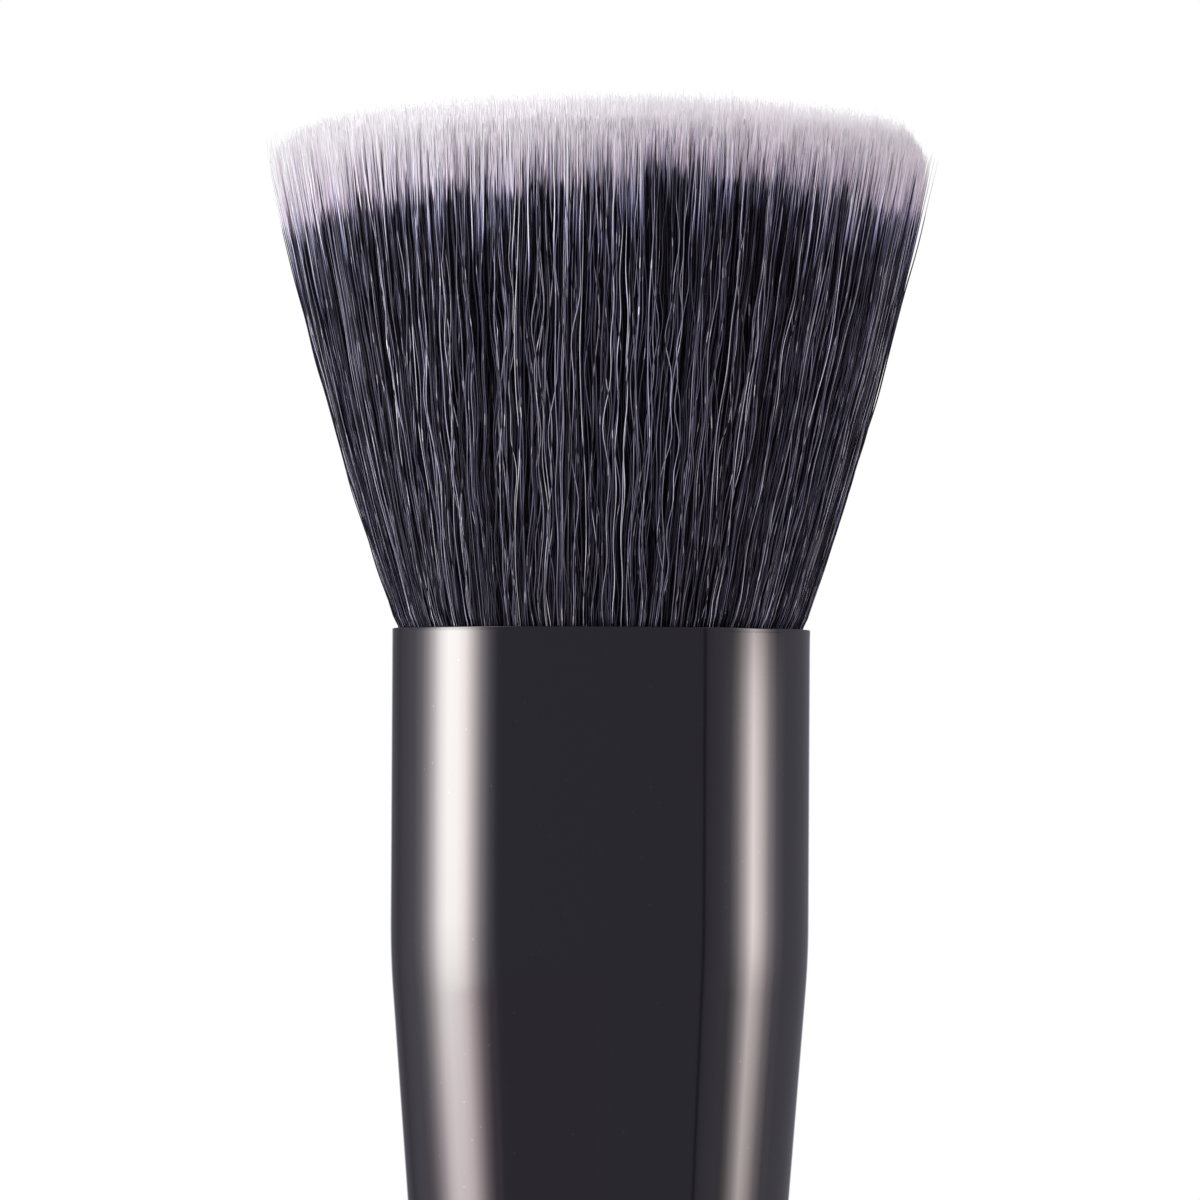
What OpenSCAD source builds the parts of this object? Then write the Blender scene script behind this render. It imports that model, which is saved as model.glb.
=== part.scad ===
// Foundation brush: a turned handle, a tapered ferrule and a dense, slightly domed head of filaments.
// Millimetres. The origin is the centre of the handle's flat foot, and +Z runs up to the bristle tips.

/* [Handle] */
// Length of the handle from its foot to the lower end of the ferrule
handle_len = 86; // [75:1:120]
// Radius of the flat at the foot
foot_r = 3.8; // [3.2:0.1:4.5]
// Radius of the handle at its slim end, just above the rounding
butt_r = 5.4; // [4.8:0.1:6.5]
// Height of the rounding at the slim end
butt_h = 4.5; // [2:0.5:8]
// How late the handle swells towards the ferrule: 1 is a straight cone
swell_power = 1.9; // [1:0.1:3]
// How far the handle's shoulder lies inside the edge of the ferrule
shoulder_step = 0.1; // [0.05:0.05:0.4]
// Room between the end of the tenon and the cast plug above it
tenon_end_clear = 3; // [1:0.5:8]
// Room between the tenon and the ferrule at the shoulder
tenon_clear = 0.15; // [0.1:0.05:0.4]
// Bevel round the end of the tenon
tenon_bevel = 0.8; // [0.4:0.1:1.5]
// Width of each glue groove round the tenon
groove_w = 1.4; // [0.8:0.1:2]
// Depth of each glue groove
groove_depth = 0.4; // [0.2:0.1:0.8]

/* [Ferrule] */
// Length of the ferrule
ferrule_len = 46; // [42:1:60]
// Outer radius of the straight upper part
ferrule_r = 11; // [10:0.1:13]
// Outer radius at the lower end
ferrule_low_r = 8.8; // [8:0.1:9.8]
// Length of the straight upper part
straight_len = 15.4; // [13:0.2:18]
// Length of the rounded transition from the taper to the straight part
blend_len = 3.7; // [2:0.1:6]
// Wall of the tube
ferrule_wall = 0.3; // [0.25:0.05:0.6]
// Bevel on both edges of the upper rim
rim_bevel = 0.08; // [0.04:0.02:0.1]

/* [Bristles] */
// Length of the filaments above the rim, at the middle of the head
hair_len = 28.1; // [22:0.1:36]
// Radius of the head where it is widest
head_r = 17.4; // [14:0.1:19]
// Height of that widest place above the rim
head_h = 23; // [18:0.5:30]
// Share of the flare that comes early, which rounds the sides of the head outwards
bulge_share = 0.29; // [0:0.01:0.4]
// How much lower the tips are near the edge than in the middle
crown_drop = 1.5; // [0:0.1:4]
// Further drop of the outermost tips, which rounds the upper edge of the head
edge_drop = 3.2; // [0:0.1:5]
// Rings of cells that the bundle is divided into; it has 6 strands times this number squared
rings = 8; // [7:1:9]
// Share of its cell's width that a strand fills
strand_share = 0.87; // [0.6:0.01:0.92]
// Length over which a strand narrows to its tip
tip_len = 4; // [2:0.5:8]
// How much lower the tips of the short strands are
short_drop = 2.6; // [0:0.1:5]

/* [Inside the ferrule] */
// Length of the packed roots that the ferrule holds
roots_len = 14; // [10:0.5:16]
// How far below the rim the roots split into strands
roots_sink = 0.8; // [0.4:0.1:2]
// Height of the cast plug under the roots
plug_h = 6; // [3:0.5:8]
// Running room between the inside pieces and the ferrule's bore
bore_gap = 0.05; // [0.02:0.01:0.1]
// Diameter of the binding thread
thread_d = 0.25; // [0.15:0.05:0.4]
// Turns of the binding thread round the roots
thread_turns = 6; // [3:1:10]
// Height of the lowest turn above the plug
thread_rise = 2; // [1:0.5:5]
// Film left between set adhesive or thread and what it grips
film_gap = 0.03; // [0.02:0.01:0.06]
// Height of the lower edge of the tenon's adhesive above the shoulder
glue_rise = 1.2; // [0.5:0.1:3]
// How far below the end of the tenon its adhesive stops
glue_stop = 9.8; // [6:0.2:12]

/* [Hidden] */
$fn = 96;

// Straight pieces in the outline of the handle, its rounding, the ferrule's transition and one turn of thread
handle_steps = 20;
round_steps = 6;
blend_steps = 5;
turn_steps = 4;
// Glue grooves round the tenon
grooves = 2;
// How sharply the tips fall away at the edge of the head
edge_power = 12;
// How far a strand's tip leans towards a corner of its cell, and the strand's width just below its tip
tip_lean_share = 0.35;
upper_share = 0.94;

shoulder_z = handle_len;
rim_z = shoulder_z + ferrule_len;
straight_z = rim_z - straight_len;
taper_len = ferrule_len - straight_len - blend_len / 2;
taper_angle = atan((ferrule_r - ferrule_low_r) / taper_len);
blend_r = blend_len / 2 / tan(taper_angle / 2);
blend_low_z = straight_z - blend_r * sin(taper_angle);

shoulder_r = ferrule_low_r - shoulder_step;
tenon_r = tube_r(shoulder_z, ferrule_wall) - tenon_clear;

bore_r = ferrule_r - ferrule_wall;
roots_z = rim_z - roots_len;
split_z = rim_z - roots_sink;
plug_z = roots_z - plug_h;
thread_r = bore_r - bore_gap - thread_d;
roots_r = thread_r - film_gap;
flare_h = head_h + roots_sink;

tenon_top = plug_z - tenon_end_clear;
glue_low = shoulder_z + glue_rise;
glue_top = tenon_top - glue_stop;

// Radius of the ferrule at height z, on the surface that lies depth inside its outside
function tube_r(z, depth) =
    z >= straight_z ? ferrule_r - depth :
    z >= blend_low_z ?
        ferrule_r - blend_r + sqrt(pow(blend_r - depth, 2) - pow(straight_z - z, 2)) :
    ferrule_low_r + (z - shoulder_z) * tan(taper_angle) - depth / cos(taper_angle);

// Points up one side of the ferrule, from its lower end to the start of the rim's bevel
function tube_side(depth) = concat(
    [[tube_r(shoulder_z, depth), shoulder_z]],
    [for (i = [0:blend_steps])
        let (z = blend_low_z + (straight_z - blend_low_z) * i / blend_steps)
            [tube_r(z, depth), z]],
    [[tube_r(rim_z, depth), rim_z - rim_bevel]]);

// Points of the glue grooves, going up the tenon's side, moved outwards by gap
function tenon_side(gap) = [
    for (i = [0:grooves - 1])
        let (groove_z = glue_low + (glue_top - glue_low) * (i + 0.5) / grooves)
            each [
                [tenon_r + gap, groove_z - groove_w / 2 + gap],
                [tenon_r + gap - groove_depth, groove_z - groove_w / 2 + groove_depth / 2 + gap],
                [tenon_r + gap - groove_depth, groove_z + groove_w / 2 - groove_depth / 2 - gap],
                [tenon_r + gap, groove_z + groove_w / 2 - gap]
            ]
];

// Points up the handle's visible side, from the foot to the shoulder
function handle_side() = concat(
    [for (i = [0:round_steps])
        let (turn = 90 * i / round_steps)
            [foot_r + (butt_r - foot_r) * sin(turn), butt_h * (1 - cos(turn))]],
    [for (i = [1:handle_steps])
        let (rise_share = i / handle_steps)
            [butt_r + (shoulder_r - butt_r) * pow(rise_share, swell_power),
             butt_h + (handle_len - butt_h) * rise_share]]);

// Points up the outside of the wound thread, half a circle for each turn
function thread_side(low) = [
    for (i = [0:thread_turns - 1], k = [0:turn_steps - 1])
        let (turn = 180 * k / turn_steps - 90)
            [thread_r + thread_d / 2 * (1 + cos(turn)), low + thread_d * (i + (1 + sin(turn)) / 2)]
];

// The bundle is a disc divided into rings of triangular cells. Place j on ring k is a corner of cells.
function corner_index(place) =
    place[0] == 0 ? 0 : 1 + 3 * place[0] * (place[0] - 1) + place[1] % (6 * place[0]);
function corner_xy(place) =
    place[0] == 0 ? [0, 0] :
        let (turn = 60 * place[1] / place[0])
            roots_r * place[0] / rings * [cos(turn), sin(turn)];

// Each cell is its three corners, anticlockwise from above, and whether its strand is a short one
cells = [
    for (k = [1:rings], side = [0:5]) each concat(
        [for (i = [0:k - 1])
            [[k, side * k + i], [k, side * k + i + 1], [k - 1, side * (k - 1) + i], false]],
        [for (i = [0:1:k - 2])
            [[k - 1, side * (k - 1) + i], [k, side * k + i + 1], [k - 1, side * (k - 1) + i + 1], true]])
];

function cell_middle(cell) = (corner_xy(cell[0]) + corner_xy(cell[1]) + corner_xy(cell[2])) / 3;

// How far the bundle has spread at height h above the place where it splits into strands
function spread(h) =
    let (rise = h / flare_h)
        1 + (head_r / roots_r - 1) * rise * (1 + bulge_share * (1 - rise));

// Height of a strand's tip above that place
function tip_height(cell) =
    let (out_share = norm(cell_middle(cell)) / roots_r)
        hair_len + roots_sink - crown_drop * pow(out_share, 2) - edge_drop * pow(out_share, edge_power)
            - (cell[3] ? short_drop : 0);

// Three points round a strand at height h, where it fills fill of its cell
function strand_ring(cell, h, fill) =
    let (middle = cell_middle(cell))
        [for (c = [0:2])
            let (xy = (middle + fill * (corner_xy(cell[c]) - middle)) * spread(h))
                [xy.x, xy.y, split_z + h]];

// The tip leans towards one corner of its cell and stays inside the cell
function strand_tip(cell, lean) =
    let (middle = cell_middle(cell), h = tip_height(cell))
        let (xy = (middle + tip_lean_share * (corner_xy(cell[lean]) - middle)) * spread(h))
            [xy.x, xy.y, split_z + h];

function strand_points(cell, lean) =
    let (neck_h = tip_height(cell) - tip_len)
        concat(strand_ring(cell, 0, strand_share), strand_ring(cell, neck_h / 2, strand_share),
            strand_ring(cell, neck_h, strand_share * upper_share), [strand_tip(cell, lean)]);

// Two triangles for each side of a strand between rings that start at points low and high
function side_faces(low, high) = [
    for (c = [0:2]) let (d = (c + 1) % 3)
        each [[low + c, high + c, high + d], [low + c, high + d, low + d]]
];

// Triangles of a strand whose first point is start, with the flat part of its cell round its root
function strand_faces(cell, start) =
    let (corners = [for (c = [0:2]) corner_index(cell[c])])
        concat(
            [for (c = [0:2]) let (d = (c + 1) % 3)
                each [[corners[c], start + c, start + d], [corners[c], start + d, corners[d]]]],
            side_faces(start, start + 3),
            side_faces(start + 3, start + 6),
            [for (c = [0:2]) [start + 6 + c, start + 9, start + 6 + (c + 1) % 3]]);

module handle() {
    color([0.05, 0.05, 0.055])
        rotate_extrude()
            polygon(concat(
                [[0, 0]],
                handle_side(),
                [[tenon_r, shoulder_z]],
                tenon_side(0),
                [[tenon_r, tenon_top - tenon_bevel], [tenon_r - tenon_bevel, tenon_top], [0, tenon_top]]));
}

module ferrule() {
    outside = tube_side(0);
    inside = tube_side(ferrule_wall);
    color([0.13, 0.13, 0.15])
        rotate_extrude()
            polygon(concat(
                outside,
                [[ferrule_r - rim_bevel, rim_z], [bore_r + rim_bevel, rim_z]],
                [for (i = [len(inside) - 1:-1:0]) inside[i]]));
}

module tenon_glue() {
    grip = tenon_side(film_gap);
    color([0.85, 0.78, 0.55])
        rotate_extrude()
            polygon(concat(
                [[tube_r(glue_low, ferrule_wall) - film_gap, glue_low],
                 [tube_r(glue_top, ferrule_wall) - film_gap, glue_top],
                 [tenon_r + film_gap, glue_top]],
                [for (i = [len(grip) - 1:-1:0]) grip[i]],
                [[tenon_r + film_gap, glue_low]]));
}

module root_plug() {
    color([0.8, 0.72, 0.5])
        rotate_extrude()
            polygon(concat(
                [[0, plug_z]],
                [for (i = [0:blend_steps])
                    let (z = plug_z + plug_h * i / blend_steps)
                        [tube_r(z, ferrule_wall) - bore_gap, z]],
                [[0, roots_z]]));
}

module binding_thread() {
    low = roots_z + thread_rise;
    high = low + thread_d * thread_turns;
    color([0.88, 0.86, 0.8])
        rotate_extrude()
            polygon(concat(
                [[thread_r, low]],
                thread_side(low),
                [[thread_r + thread_d / 2, high], [thread_r, high]]));
}

module bristles() {
    rim_count = 6 * rings;
    top_points = concat(
        [[0, 0, split_z]],
        [for (k = [1:rings], j = [0:6 * k - 1])
            let (xy = corner_xy([k, j])) [xy.x, xy.y, split_z]]);
    bottom_points = concat(
        [for (j = [0:rim_count - 1])
            let (xy = corner_xy([rings, j])) [xy.x, xy.y, roots_z]],
        [[0, 0, roots_z]]);
    rim_start = len(top_points) - rim_count;
    low_start = len(top_points);
    middle = low_start + rim_count;
    first = middle + 1;
    point_count = len(strand_points(cells[0], 0));
    color([0.16, 0.15, 0.18])
        polyhedron(
            points = concat(top_points, bottom_points,
                [for (i = [0:len(cells) - 1]) each strand_points(cells[i], i % 3)]),
            faces = concat(
                [for (i = [0:len(cells) - 1]) each strand_faces(cells[i], first + point_count * i)],
                [for (j = [0:rim_count - 1]) let (n = (j + 1) % rim_count)
                    each [
                        [low_start + j, rim_start + j, rim_start + n],
                        [low_start + j, rim_start + n, low_start + n],
                        [middle, low_start + j, low_start + n]
                    ]]));
}

handle();
ferrule();
tenon_glue();
root_plug();
binding_thread();
bristles();
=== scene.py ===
import math

import bpy
import numpy as np
from mathutils import Matrix, Vector


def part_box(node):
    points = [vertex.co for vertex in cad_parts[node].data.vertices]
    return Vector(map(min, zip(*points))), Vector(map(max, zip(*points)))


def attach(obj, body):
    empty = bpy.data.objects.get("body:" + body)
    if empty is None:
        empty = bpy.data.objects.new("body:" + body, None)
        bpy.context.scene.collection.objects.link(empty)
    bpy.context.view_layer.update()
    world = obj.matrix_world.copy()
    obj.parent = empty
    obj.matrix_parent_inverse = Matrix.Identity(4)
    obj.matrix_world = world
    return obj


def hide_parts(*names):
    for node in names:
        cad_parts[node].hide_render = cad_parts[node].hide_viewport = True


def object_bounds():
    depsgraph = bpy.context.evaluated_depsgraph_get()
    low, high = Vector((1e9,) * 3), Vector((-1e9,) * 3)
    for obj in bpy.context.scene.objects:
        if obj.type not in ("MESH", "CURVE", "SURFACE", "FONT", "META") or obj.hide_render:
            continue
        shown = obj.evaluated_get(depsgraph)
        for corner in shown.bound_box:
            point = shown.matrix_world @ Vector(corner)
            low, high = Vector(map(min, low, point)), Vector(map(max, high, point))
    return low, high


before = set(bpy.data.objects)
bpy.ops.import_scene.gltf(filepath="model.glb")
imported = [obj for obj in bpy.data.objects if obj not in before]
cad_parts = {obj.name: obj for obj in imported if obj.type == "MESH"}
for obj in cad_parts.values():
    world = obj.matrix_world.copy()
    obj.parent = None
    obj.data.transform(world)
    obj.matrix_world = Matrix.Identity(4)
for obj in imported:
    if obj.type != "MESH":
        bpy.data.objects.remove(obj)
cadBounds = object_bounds()

mm = 0.001
scene = bpy.context.scene

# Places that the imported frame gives
ferruleLow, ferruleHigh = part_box("ferrule")
handleLow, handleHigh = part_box("handle")
bristlesLow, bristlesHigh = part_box("bristles")
rimZ = ferruleHigh.z
shoulderZ = ferruleLow.z
ferruleR = ferruleHigh.x
print("frame loaded, ferrule rim at", round(rimZ / mm, 2), "mm")


# Small helpers for shader trees

def newMaterial(name):
    mat = bpy.data.materials.new(name)
    mat.use_nodes = True
    nodes = mat.node_tree.nodes
    nodes.clear()
    out = nodes.new("ShaderNodeOutputMaterial")
    shader = nodes.new("ShaderNodeBsdfPrincipled")
    mat.node_tree.links.new(shader.outputs["BSDF"], out.inputs["Surface"])
    return mat, nodes, mat.node_tree.links, shader


def mathNode(nodes, links, operation, first, second=None, third=None):
    node = nodes.new("ShaderNodeMath")
    node.operation = operation
    for socket, value in zip(node.inputs, (first, second, third)):
        if value is None:
            continue
        if isinstance(value, (int, float)):
            socket.default_value = value
        else:
            links.new(value, socket)
    return node.outputs[0]


def mapRange(nodes, links, value, fromLow, fromHigh, toLow, toHigh, smooth=False):
    node = nodes.new("ShaderNodeMapRange")
    node.interpolation_type = "SMOOTHSTEP" if smooth else "LINEAR"
    for name, given in zip(("Value", "From Min", "From Max", "To Min", "To Max"),
                           (value, fromLow, fromHigh, toLow, toHigh)):
        if isinstance(given, (int, float)):
            node.inputs[name].default_value = given
        else:
            links.new(given, node.inputs[name])
    return node.outputs["Result"]


def mixColour(nodes, links, factor, first, second, blend="MIX"):
    node = nodes.new("ShaderNodeMix")
    node.data_type = "RGBA"
    node.blend_type = blend
    for socket, value in ((node.inputs[0], factor), (node.inputs[6], first), (node.inputs[7], second)):
        if isinstance(value, (int, float)):
            socket.default_value = value
        elif isinstance(value, tuple):
            socket.default_value = (*value, 1)
        else:
            links.new(value, socket)
    return node.outputs[2]


def colourRamp(nodes, links, factor, stops):
    node = nodes.new("ShaderNodeValToRGB")
    ramp = node.color_ramp
    while len(ramp.elements) < len(stops):
        ramp.elements.new(0.5)
    for element, (place, colour) in zip(ramp.elements, stops):
        element.position = place
        element.color = (*colour, 1)
    links.new(factor, node.inputs["Fac"])
    return node.outputs["Color"]


def noiseNode(nodes, links, vector, scale, detail=2.0, roughness=0.5):
    node = nodes.new("ShaderNodeTexNoise")
    node.inputs["Scale"].default_value = scale
    node.inputs["Detail"].default_value = detail
    node.inputs["Roughness"].default_value = roughness
    links.new(vector, node.inputs["Vector"])
    return node.outputs["Fac"]


def lineNoiseNode(nodes, links, place, scale, detail):
    node = nodes.new("ShaderNodeTexNoise")
    node.noise_dimensions = "1D"
    node.inputs["Scale"].default_value = scale
    node.inputs["Detail"].default_value = detail
    links.new(place, node.inputs["W"])
    return node.outputs["Fac"]


def bumpNode(nodes, links, height, strength, distance):
    node = nodes.new("ShaderNodeBump")
    node.inputs["Strength"].default_value = strength
    node.inputs["Distance"].default_value = distance
    links.new(height, node.inputs["Height"])
    return node.outputs["Normal"]


# Fine dust, hairline wipe marks and the slight unevenness of a glossy coat, in metres of the object

coatWearLook = {
    "speckScale": 2300,
    "speckRarity": 0.9,
    "wipeStretch": 24,
    "wipeScale": 260,
    "patchScale": 150,
    "peelScale": 420,
    "dustHeight": 0.6,
}


def coatWearGroup():
    look = coatWearLook
    group = bpy.data.node_groups.new("coatWear", "ShaderNodeTree")
    sockets = group.interface
    sockets.new_socket("Dust", in_out="INPUT", socket_type="NodeSocketFloat")
    sockets.new_socket("Marks", in_out="INPUT", socket_type="NodeSocketFloat")
    sockets.new_socket("Dust Mask", in_out="OUTPUT", socket_type="NodeSocketFloat")
    sockets.new_socket("Mark Mask", in_out="OUTPUT", socket_type="NodeSocketFloat")
    sockets.new_socket("Height", in_out="OUTPUT", socket_type="NodeSocketFloat")
    nodes, links = group.nodes, group.links
    given = nodes.new("NodeGroupInput")
    result = nodes.new("NodeGroupOutput")
    place = nodes.new("ShaderNodeTexCoord").outputs["Object"]
    specks = nodes.new("ShaderNodeTexVoronoi")
    specks.inputs["Scale"].default_value = look["speckScale"]
    links.new(place, specks.inputs["Vector"])
    near = mapRange(nodes, links, specks.outputs["Distance"], 0.05, 0.16, 1.0, 0.0)
    chosen = nodes.new("ShaderNodeSeparateColor")
    links.new(specks.outputs["Color"], chosen.inputs[0])
    rare = mathNode(nodes, links, "GREATER_THAN", chosen.outputs[0], look["speckRarity"])
    dust = mathNode(nodes, links, "MULTIPLY", near, rare)
    dust = mathNode(nodes, links, "MULTIPLY", dust, given.outputs["Dust"])
    links.new(dust, result.inputs["Dust Mask"])
    stretch = nodes.new("ShaderNodeMapping")
    stretch.inputs["Scale"].default_value = (1, 1, look["wipeStretch"])
    links.new(place, stretch.inputs["Vector"])
    wipes = noiseNode(nodes, links, stretch.outputs["Vector"], look["wipeScale"], 3)
    patches = noiseNode(nodes, links, place, look["patchScale"], 2)
    lines = mapRange(nodes, links, wipes, 0.6, 0.72, 0.0, 1.0)
    marks = mathNode(nodes, links, "MULTIPLY", lines, patches)
    marks = mathNode(nodes, links, "MULTIPLY", marks, given.outputs["Marks"])
    links.new(marks, result.inputs["Mark Mask"])
    peel = noiseNode(nodes, links, place, look["peelScale"], 1)
    height = mathNode(nodes, links, "MULTIPLY_ADD", dust, look["dustHeight"], peel)
    links.new(height, result.inputs["Height"])
    return group


coatWear = coatWearGroup()


def addWear(nodes, dust, marks):
    node = nodes.new("ShaderNodeGroup")
    node.node_tree = coatWear
    node.inputs["Dust"].default_value = dust
    node.inputs["Marks"].default_value = marks
    return node


ferruleFinish = {
    "colour": (0.105, 0.104, 0.106),
    "dustColour": (0.24, 0.235, 0.24),
    "roughness": 0.075,
    "dust": 0.3,
    "marks": 0.5,
}


def ferruleMaterial():
    mat, nodes, links, shader = newMaterial("blackGlossMetal")
    wear = addWear(nodes, ferruleFinish["dust"], ferruleFinish["marks"])
    colour = mixColour(nodes, links, wear.outputs["Dust Mask"], ferruleFinish["colour"],
                       ferruleFinish["dustColour"])
    links.new(colour, shader.inputs["Base Color"])
    rough = mathNode(nodes, links, "MULTIPLY_ADD", wear.outputs["Mark Mask"], 0.08,
                     ferruleFinish["roughness"])
    rough = mathNode(nodes, links, "MULTIPLY_ADD", wear.outputs["Dust Mask"], 0.4, rough)
    links.new(rough, shader.inputs["Roughness"])
    shader.inputs["Metallic"].default_value = 1.0
    links.new(bumpNode(nodes, links, wear.outputs["Height"], 0.02, 0.02 * mm), shader.inputs["Normal"])
    return mat


handleFinish = {
    "colour": (0.012, 0.0115, 0.013),
    "dustColour": (0.2, 0.19, 0.19),
    "roughness": 0.16,
    "dust": 0.6,
    "marks": 0.7,
    "grain": 0.06,
}


def handleMaterial():
    mat, nodes, links, shader = newMaterial("blackLacquerOnWood")
    wear = addWear(nodes, handleFinish["dust"], handleFinish["marks"])
    place = nodes.new("ShaderNodeTexCoord").outputs["Object"]
    along = nodes.new("ShaderNodeMapping")
    along.inputs["Scale"].default_value = (14, 14, 1)
    links.new(place, along.inputs["Vector"])
    grain = noiseNode(nodes, links, along.outputs["Vector"], 90, 4, 0.6)
    colour = mixColour(nodes, links, wear.outputs["Dust Mask"], handleFinish["colour"],
                       handleFinish["dustColour"])
    links.new(colour, shader.inputs["Base Color"])
    rough = mathNode(nodes, links, "MULTIPLY_ADD", wear.outputs["Mark Mask"], 0.12,
                     handleFinish["roughness"])
    rough = mathNode(nodes, links, "MULTIPLY_ADD", wear.outputs["Dust Mask"], 0.4, rough)
    links.new(rough, shader.inputs["Roughness"])
    height = mathNode(nodes, links, "MULTIPLY_ADD", grain, handleFinish["grain"], wear.outputs["Height"])
    links.new(bumpNode(nodes, links, height, 0.06, 0.03 * mm), shader.inputs["Normal"])
    shader.inputs["Coat Weight"].default_value = 0.6
    shader.inputs["Coat Roughness"].default_value = 0.05
    return mat


# Turned pieces

def lathe(name, outline, material, segments=256, sharpAngle=28):
    rings, verts, faces = [], [], []
    for radius, z in outline:
        if radius <= 0:
            rings.append([len(verts)])
            verts.append((0, 0, z))
            continue
        start = len(verts)
        for k in range(segments):
            turn = 2 * math.pi * k / segments
            verts.append((radius * math.cos(turn), radius * math.sin(turn), z))
        rings.append(list(range(start, start + segments)))
    count = len(rings)
    closed = outline[0][0] > 0
    for i in range(count if closed else count - 1):
        low, high = rings[i], rings[(i + 1) % count]
        for k in range(segments):
            n = (k + 1) % segments
            if len(low) == 1:
                faces.append((low[0], high[n], high[k]))
            elif len(high) == 1:
                faces.append((low[k], low[n], high[0]))
            else:
                faces.append((low[k], low[n], high[n], high[k]))
    mesh = bpy.data.meshes.new(name)
    mesh.from_pydata(verts, [], faces)
    mesh.polygons.foreach_set("use_smooth", [True] * len(mesh.polygons))
    mesh.set_sharp_from_angle(angle=math.radians(sharpAngle))
    mesh.materials.append(material)
    piece = bpy.data.objects.new(name, mesh)
    scene.collection.objects.link(piece)
    return piece


def roundedCorner(centreR, centreZ, radius, fromDeg, toDeg, steps):
    points = []
    for i in range(steps + 1):
        turn = math.radians(fromDeg + (toDeg - fromDeg) * i / steps)
        points.append((centreR + radius * math.cos(turn), centreZ + radius * math.sin(turn)))
    return points


ferruleShape = {
    "lowRadius": 8.8 * mm,
    "straightLength": 15.4 * mm,
    "blendLength": 3.7 * mm,
    "wall": 0.3 * mm,
    "edgeRound": 0.06 * mm,
    "blendSteps": 16,
    "ringGap": 0.25 * mm,
}


# Outline of one side of the tube wall, from its low end up. Rings set close to the ends of each
# straight stretch keep its shading flat.
def ferruleTube(depth):
    shape = ferruleShape
    gap = shape["ringGap"]
    straightZ = rimZ - shape["straightLength"]
    taperLength = straightZ - shape["blendLength"] / 2 - shoulderZ
    slope = math.atan((ferruleR - shape["lowRadius"]) / taperLength)
    blendR = shape["blendLength"] / 2 / math.tan(slope / 2)
    points = [(shape["lowRadius"] - depth / math.cos(slope), shoulderZ)]
    points.append((points[0][0] + gap * math.tan(slope), shoulderZ + gap))
    for i in range(shape["blendSteps"] + 1):
        turn = slope * (1 - i / shape["blendSteps"])
        points.append((ferruleR - blendR + (blendR - depth) * math.cos(turn),
                       straightZ - (blendR - depth) * math.sin(turn)))
    points.insert(2, (points[2][0] - gap * math.tan(slope), points[2][1] - gap))
    points.append((ferruleR - depth, points[-1][1] + gap))
    points.append((ferruleR - depth, rimZ - gap))
    points.append((ferruleR - depth, rimZ))
    return points


def makeFerrule():
    edge = ferruleShape["edgeRound"]
    outside = ferruleTube(0)
    inside = ferruleTube(ferruleShape["wall"])
    lowOut, lowIn = outside.pop(0), inside.pop(0)
    topOut, topIn = outside.pop(), inside.pop()
    outline = roundedCorner(lowOut[0] - edge, lowOut[1] + edge, edge, -90, 0, 4)
    outline += outside
    outline += roundedCorner(topOut[0] - edge, topOut[1] - edge, edge, 0, 90, 5)
    outline += roundedCorner(topIn[0] + edge, topIn[1] - edge, edge, 90, 180, 5)
    outline += list(reversed(inside))
    outline += roundedCorner(lowIn[0] + edge, lowIn[1] + edge, edge, 180, 270, 4)
    piece = lathe("ferruleTube", outline, ferruleMaterial())
    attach(piece, "root")
    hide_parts("ferrule")


handleShape = {
    "footRadius": 3.8 * mm,
    "buttRadius": 5.4 * mm,
    "buttHeight": 4.5 * mm,
    "shoulderRadius": 8.7 * mm,
    "shoulderRound": 0.12 * mm,
    "swellPower": 1.9,
    "tenonRadius": 8.349 * mm,
    "tenonBevel": 0.8 * mm,
    "buttSteps": 24,
    "bodySteps": 72,
}


def makeHandle():
    shape = handleShape
    outline = [(0, handleLow.z)]
    for i in range(shape["buttSteps"] + 1):
        turn = math.pi / 2 * i / shape["buttSteps"]
        outline.append((shape["footRadius"] + (shape["buttRadius"] - shape["footRadius"]) * math.sin(turn),
                        handleLow.z + shape["buttHeight"] * (1 - math.cos(turn))))
    bodyLow = handleLow.z + shape["buttHeight"]
    bodyHigh = shoulderZ - shape["shoulderRound"]
    for i in range(1, shape["bodySteps"] + 1):
        share = i / shape["bodySteps"]
        outline.append((shape["buttRadius"] + (shape["shoulderRadius"] - shape["buttRadius"])
                        * share ** shape["swellPower"], bodyLow + (bodyHigh - bodyLow) * share))
    outline += roundedCorner(shape["shoulderRadius"] - shape["shoulderRound"], bodyHigh,
                             shape["shoulderRound"], 15, 90, 4)
    outline += [(shape["tenonRadius"], shoulderZ),
                (shape["tenonRadius"], handleHigh.z - shape["tenonBevel"]),
                (shape["tenonRadius"] - shape["tenonBevel"], handleHigh.z),
                (0, handleHigh.z)]
    piece = lathe("turnedHandle", outline, handleMaterial())
    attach(piece, "root")
    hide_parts("handle")


makeFerrule()
makeHandle()
print("ferrule and handle turned")


# The pieces that the ferrule hides keep their own solids and get their own finishes

def hiddenMaterial(name, colour, darker, scale, roughness):
    mat, nodes, links, shader = newMaterial(name)
    place = nodes.new("ShaderNodeTexCoord").outputs["Object"]
    cloud = noiseNode(nodes, links, place, scale, 3)
    links.new(mixColour(nodes, links, cloud, colour, darker), shader.inputs["Base Color"])
    rough = mapRange(nodes, links, cloud, 0.3, 0.7, roughness - 0.08, roughness + 0.08)
    links.new(rough, shader.inputs["Roughness"])
    links.new(bumpNode(nodes, links, cloud, 0.2, 0.05 * mm), shader.inputs["Normal"])
    return mat


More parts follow.
